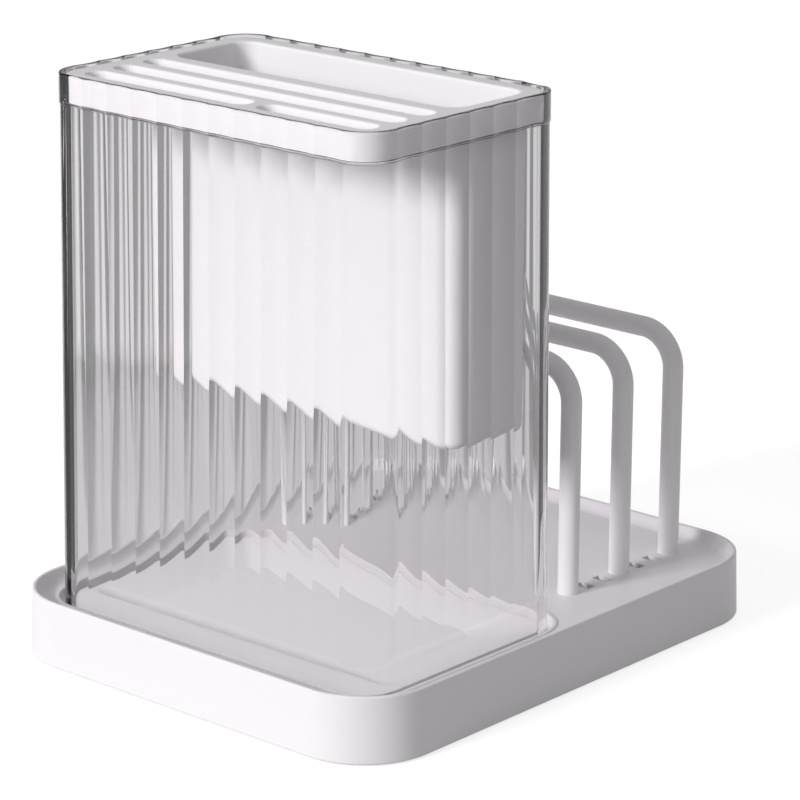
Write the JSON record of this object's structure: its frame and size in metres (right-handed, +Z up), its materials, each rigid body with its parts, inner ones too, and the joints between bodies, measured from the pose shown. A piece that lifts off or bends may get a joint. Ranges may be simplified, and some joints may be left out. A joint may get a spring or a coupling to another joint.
{
  "type": "knife rack",
  "caption": "Knife rack with a clear fluted housing, a slotted insert with a utensil box, a drip tray and a row of hoops for cutting boards.",
  "frame": {"origin": "on the table, under the middle of the tray", "axes": "+Z up, -Y towards the front face, hoops at +Y, +X to the right seen from the front"},
  "size_m": [0.1938, 0.2394, 0.2287],
  "materials": {
    "white_plastic": "satin",
    "clear_plastic": "clear gloss",
    "foot_rubber": "matt"
  },
  "bodies": {
    "tray": {"base_tray": "white_plastic", "foot_front_left": "foot_rubber", "foot_front_right": "foot_rubber", "foot_rear_left": "foot_rubber", "foot_rear_right": "foot_rubber"},
    "housing": {"clear_housing": "clear_plastic"},
    "insert": {"knife_insert": "white_plastic"},
    "hoop_front": {"board_hoop_front": "white_plastic"},
    "hoop_middle": {"board_hoop_middle": "white_plastic"},
    "hoop_rear": {"board_hoop_rear": "white_plastic"}
  },
  "joints": [
    {"name": "housing_lift", "type": "slide", "parent": "tray", "child": "housing", "axis": [0, 0, 1], "range_m": [0, 0.03]},
    {"name": "insert_lift", "type": "slide", "parent": "housing", "child": "insert", "axis": [0, 0, 1], "range_m": [0, 0.135]},
    {"name": "hoop_front_pull", "type": "slide", "parent": "tray", "child": "hoop_front", "axis": [0, 0, 1], "range_m": [0, 0.016]},
    {"name": "hoop_middle_pull", "type": "slide", "parent": "tray", "child": "hoop_middle", "axis": [0, 0, 1], "range_m": [0, 0.016]},
    {"name": "hoop_rear_pull", "type": "slide", "parent": "tray", "child": "hoop_rear", "axis": [0, 0, 1], "range_m": [0, 0.016]}
  ]
}
